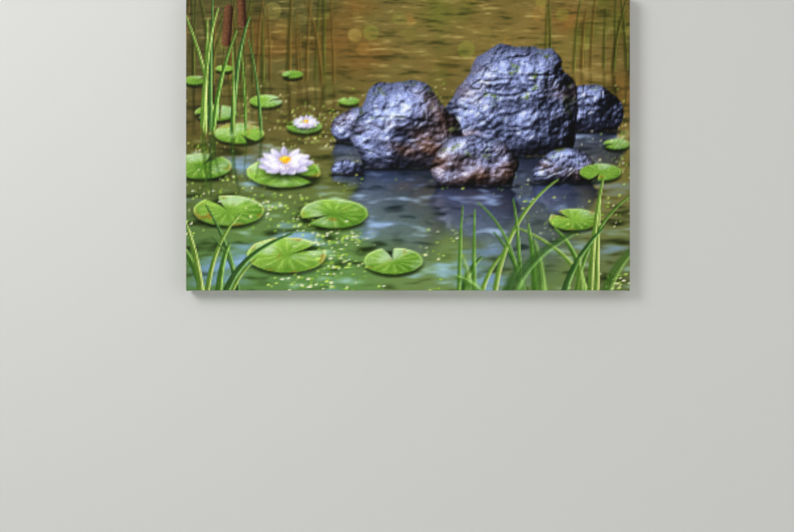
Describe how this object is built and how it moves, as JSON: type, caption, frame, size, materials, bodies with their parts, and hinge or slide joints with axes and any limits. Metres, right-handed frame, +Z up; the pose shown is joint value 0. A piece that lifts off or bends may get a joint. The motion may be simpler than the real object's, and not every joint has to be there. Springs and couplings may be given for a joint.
{
  "type": "stretched canvas wall print",
  "caption": "Wide stretched canvas print on a braced wooden stretcher frame, hung on the wall by two strap rings on two nailed picture hooks.",
  "frame": {"origin": "on the wall's face, midway between the points where the two picture hooks' nails enter it; the print's own middle is 314.5 mm below it", "axes": "+X to the viewer's right along the print's width, +Y back into the wall, +Z up"},
  "size_m": [1.219, 0.0635, 0.813],
  "materials": {
    "printed_canvas": "matt printed cotton canvas",
    "pine": "planed, bare",
    "beech": "planed, bare",
    "nickel": "nickel plated",
    "steel": "zinc plated",
    "brass": "bright plated",
    "rubber": "matt"
  },
  "bodies": {
    "root": {"bar_bottom": "pine", "bar_left": "pine", "bar_right": "pine", "bar_top": "pine", "brace": "pine", "bumper_left": "rubber", "bumper_right": "rubber", "canvas": "printed_canvas", "hook_nail_left": "steel", "hook_nail_right": "steel", "key_bottom_a": "beech", "key_bottom_b": "beech", "key_left_a": "beech", "key_left_b": "beech", "key_right_a": "beech", "key_right_b": "beech", "key_top_a": "beech", "key_top_b": "beech", "ring_left": "nickel", "ring_right": "nickel", "screw_left_lower": "steel", "screw_left_upper": "steel", "screw_right_lower": "steel", "screw_right_upper": "steel", "strap_left": "nickel", "strap_right": "nickel", "wall_hook_left": "brass", "wall_hook_right": "brass"}
  },
  "joints": []
}
